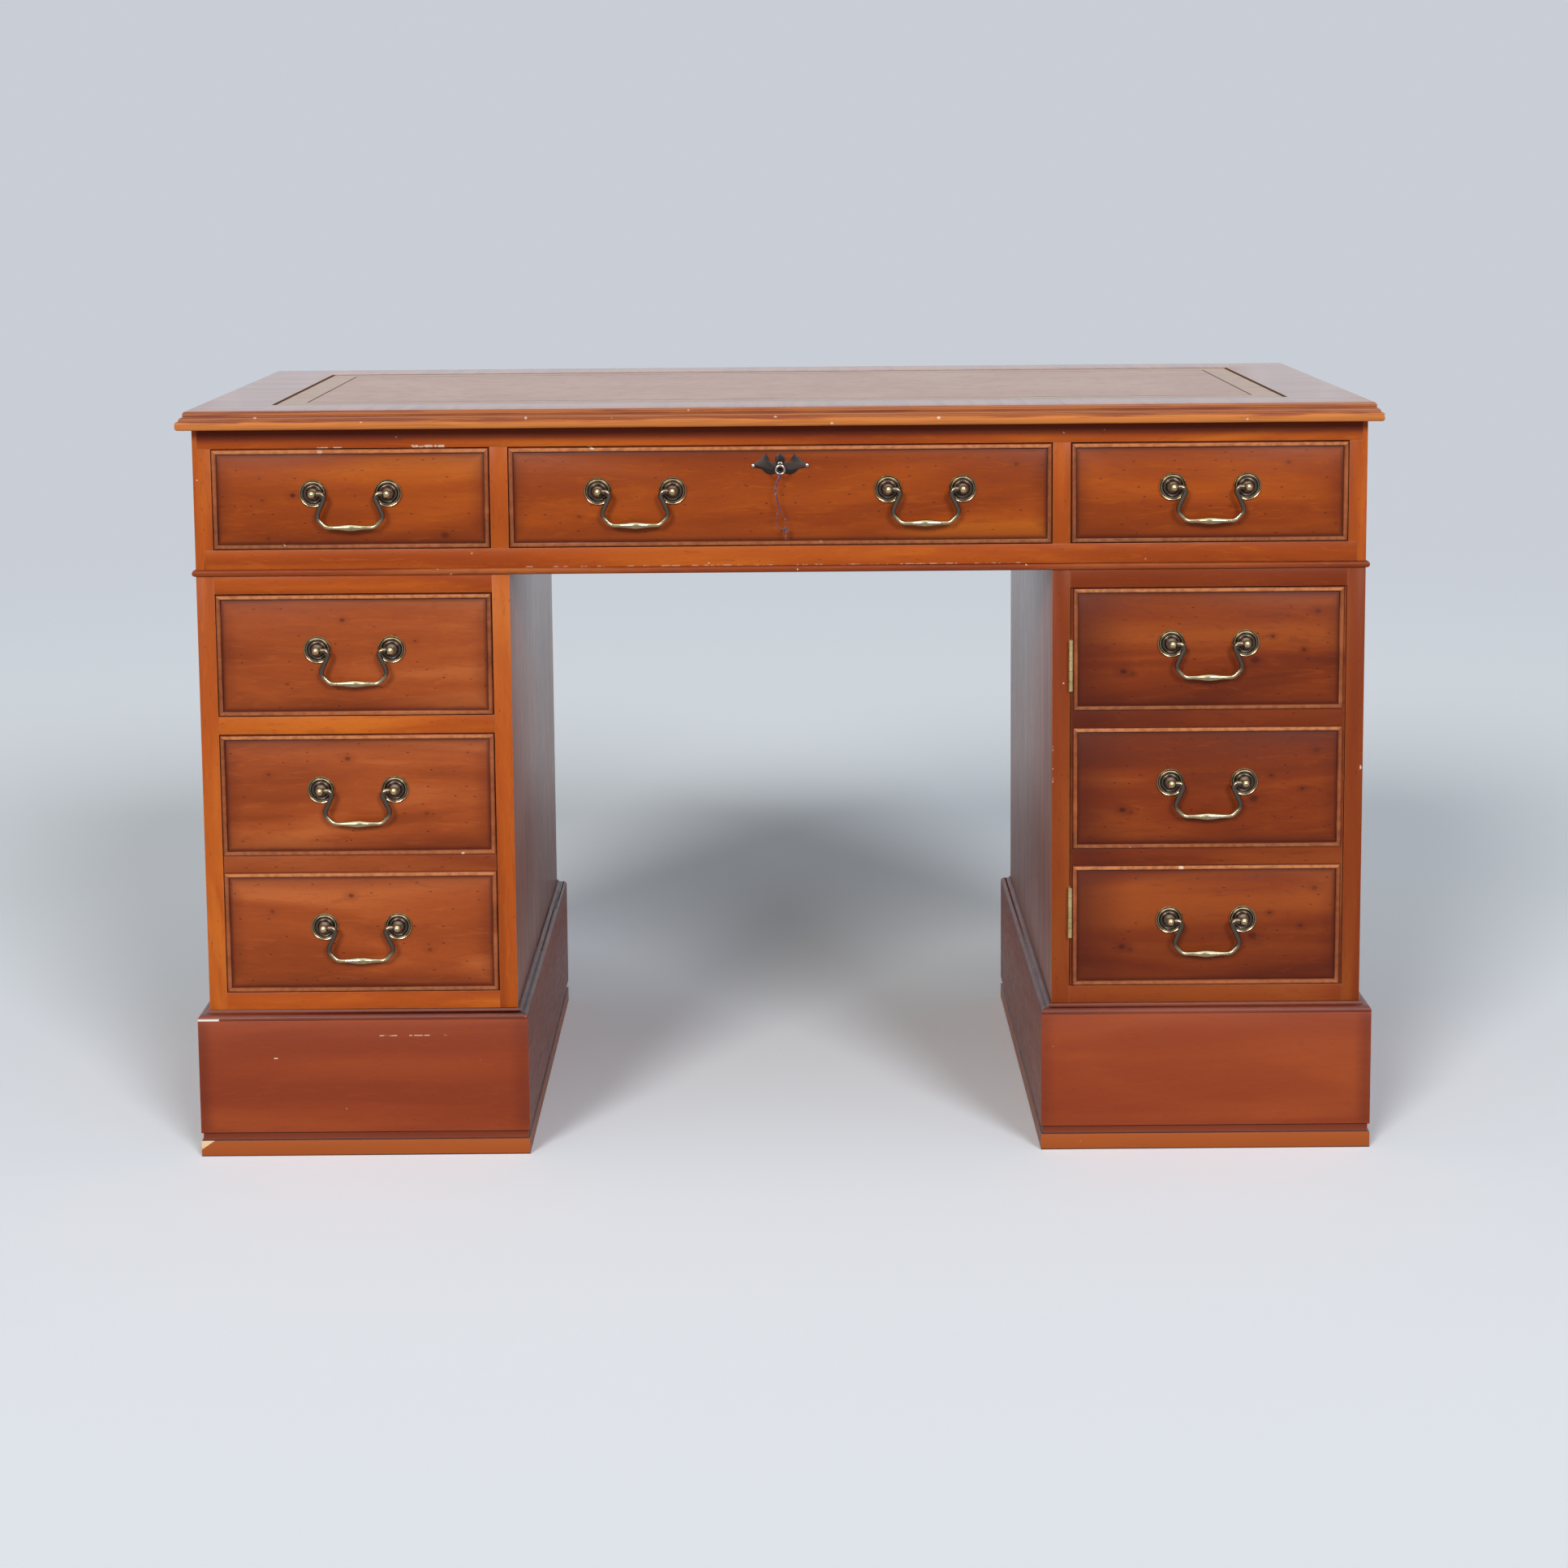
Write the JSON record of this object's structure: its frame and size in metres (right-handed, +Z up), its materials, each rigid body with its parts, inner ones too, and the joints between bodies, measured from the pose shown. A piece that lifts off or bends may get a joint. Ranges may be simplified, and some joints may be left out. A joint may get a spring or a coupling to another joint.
{
  "type": "pedestal writing desk",
  "caption": "Pedestal writing desk with a leather-lined top, cock-beaded drawers with bail handles, a cupboard faced as drawers, an open kneehole and a key on a string.",
  "frame": {"origin": "middle of the desk's footprint, on the floor", "axes": "+X to the right along the desk's length, -Y out of its front, +Z up"},
  "size_m": [1.22, 0.61, 0.778],
  "materials": {
    "top_veneer": "satin lacquer",
    "case_veneer": "satin lacquer",
    "front_veneer": "satin lacquer",
    "door_veneer": "satin lacquer",
    "bead_wood": "satin lacquer",
    "plinth_veneer": "satin lacquer",
    "inner_wood": "plain",
    "hide": "waxed",
    "antique_brass": "antiqued",
    "bronze": "dark lacquered",
    "hinge_brass": "satin",
    "lock_steel": "brushed",
    "cotton_string": "twisted"
  },
  "bodies": {
    "desk": {"writing_top": "top_veneer", "leather_inset": "hide", "top_case_sides": "case_veneer", "top_case_back": "case_veneer", "top_case_rails": "front_veneer", "top_case_dividers": "case_veneer", "waist_moulding": "plinth_veneer", "pedestal_sides": "case_veneer", "pedestal_backs": "case_veneer", "pedestal_rails": "front_veneer", "pedestal_boards": "inner_wood", "plinths": "plinth_veneer", "plinth_mouldings": "plinth_veneer", "drawer_runners": "inner_wood", "cupboard_shelf": "inner_wood", "door_catch": "lock_steel", "hinge_frame_leaves": "hinge_brass", "hinge_pins": "hinge_brass"},
    "left_drawer": {"left_drawer_front": "front_veneer", "left_drawer_beads": "bead_wood", "left_drawer_box": "inner_wood", "left_drawer_handle_mounts": "antique_brass"},
    "centre_drawer": {"centre_drawer_front": "front_veneer", "centre_drawer_beads": "bead_wood", "centre_drawer_box": "inner_wood", "centre_drawer_handle_mounts": "antique_brass", "escutcheon": "bronze", "escutcheon_pins": "antique_brass", "lock_case": "lock_steel"},
    "right_drawer": {"right_drawer_front": "front_veneer", "right_drawer_beads": "bead_wood", "right_drawer_box": "inner_wood", "right_drawer_handle_mounts": "antique_brass"},
    "upper_drawer": {"upper_drawer_front": "front_veneer", "upper_drawer_beads": "bead_wood", "upper_drawer_box": "inner_wood", "upper_drawer_handle_mounts": "antique_brass"},
    "file_drawer": {"file_drawer_front": "front_veneer", "file_drawer_beads": "bead_wood", "file_drawer_box": "inner_wood", "file_drawer_handle_mounts": "antique_brass"},
    "door": {"door_panel": "door_veneer", "door_beads": "bead_wood", "door_handle_mounts": "antique_brass", "hinge_door_leaves": "hinge_brass"},
    "left_drawer_bail": {"left_drawer_bail": "antique_brass"},
    "centre_drawer_bail_left": {"centre_drawer_bail_left": "antique_brass"},
    "centre_drawer_bail_right": {"centre_drawer_bail_right": "antique_brass"},
    "right_drawer_bail": {"right_drawer_bail": "antique_brass"},
    "upper_drawer_bail": {"upper_drawer_bail": "antique_brass"},
    "file_drawer_bail_low": {"file_drawer_bail_low": "antique_brass"},
    "file_drawer_bail_high": {"file_drawer_bail_high": "antique_brass"},
    "door_bail_low": {"door_bail_low": "antique_brass"},
    "door_bail_middle": {"door_bail_middle": "antique_brass"},
    "door_bail_high": {"door_bail_high": "antique_brass"},
    "key": {"key": "bronze"},
    "lock_bolt": {"lock_bolt": "lock_steel"},
    "string": {"key_string": "cotton_string", "string_knot": "cotton_string"}
  },
  "joints": [
    {"name": "left_drawer_slide", "type": "slide", "parent": "desk", "child": "left_drawer", "axis": [0, -1, 0], "range_m": [0, 0.4]},
    {"name": "centre_drawer_slide", "type": "slide", "parent": "desk", "child": "centre_drawer", "axis": [0, -1, 0], "range_m": [0, 0.4]},
    {"name": "right_drawer_slide", "type": "slide", "parent": "desk", "child": "right_drawer", "axis": [0, -1, 0], "range_m": [0, 0.4]},
    {"name": "upper_drawer_slide", "type": "slide", "parent": "desk", "child": "upper_drawer", "axis": [0, -1, 0], "range_m": [0, 0.4]},
    {"name": "file_drawer_slide", "type": "slide", "parent": "desk", "child": "file_drawer", "axis": [0, -1, 0], "range_m": [0, 0.4]},
    {"name": "door_hinge", "type": "hinge", "parent": "desk", "child": "door", "pos_m": [0.2959, -0.2871, 0.38], "axis": [0, 0, -1], "range_deg": [0, 170]},
    {"name": "left_drawer_bail_swing", "type": "hinge", "parent": "left_drawer", "child": "left_drawer_bail", "pos_m": [-0.437, -0.294, 0.69275], "axis": [-1, 0, 0], "range_deg": [-8, 180]},
    {"name": "centre_drawer_bail_left_swing", "type": "hinge", "parent": "centre_drawer", "child": "centre_drawer_bail_left", "pos_m": [-0.1475, -0.294, 0.69275], "axis": [-1, 0, 0], "range_deg": [-8, 180]},
    {"name": "centre_drawer_bail_right_swing", "type": "hinge", "parent": "centre_drawer", "child": "centre_drawer_bail_right", "pos_m": [0.1475, -0.294, 0.69275], "axis": [-1, 0, 0], "range_deg": [-8, 180]},
    {"name": "right_drawer_bail_swing", "type": "hinge", "parent": "right_drawer", "child": "right_drawer_bail", "pos_m": [0.437, -0.294, 0.69275], "axis": [-1, 0, 0], "range_deg": [-8, 180]},
    {"name": "upper_drawer_bail_swing", "type": "hinge", "parent": "upper_drawer", "child": "upper_drawer_bail", "pos_m": [-0.437, -0.294, 0.532], "axis": [-1, 0, 0], "range_deg": [-8, 180]},
    {"name": "file_drawer_bail_low_swing", "type": "hinge", "parent": "file_drawer", "child": "file_drawer_bail_low", "pos_m": [-0.437, -0.294, 0.2419], "axis": [-1, 0, 0], "range_deg": [-8, 180]},
    {"name": "file_drawer_bail_high_swing", "type": "hinge", "parent": "file_drawer", "child": "file_drawer_bail_high", "pos_m": [-0.437, -0.294, 0.3861], "axis": [-1, 0, 0], "range_deg": [-8, 180]},
    {"name": "door_bail_low_swing", "type": "hinge", "parent": "door", "child": "door_bail_low", "pos_m": [0.437, -0.294, 0.24212], "axis": [-1, 0, 0], "range_deg": [-8, 180]},
    {"name": "door_bail_middle_swing", "type": "hinge", "parent": "door", "child": "door_bail_middle", "pos_m": [0.437, -0.294, 0.38675], "axis": [-1, 0, 0], "range_deg": [-8, 180]},
    {"name": "door_bail_high_swing", "type": "hinge", "parent": "door", "child": "door_bail_high", "pos_m": [0.437, -0.294, 0.53138], "axis": [-1, 0, 0], "range_deg": [-8, 180]},
    {"name": "key_turn", "type": "hinge", "parent": "centre_drawer", "child": "key", "pos_m": [0, -0.28, 0.7185], "axis": [0, 1, 0], "range_deg": [0, 90]},
    {"name": "bolt_slide", "type": "slide", "parent": "centre_drawer", "child": "lock_bolt", "axis": [0, 0, 1], "range_m": [0, 0.007]},
    {"name": "string_swing", "type": "hinge", "parent": "key", "child": "string", "pos_m": [0, -0.2965, 0.7141], "axis": [0, -1, 0], "range_deg": [0, 90]}
  ],
  "couplings": [
    {"joint": "bolt_slide", "follows": "key_turn", "m_per_rad": 0.004456}
  ]
}
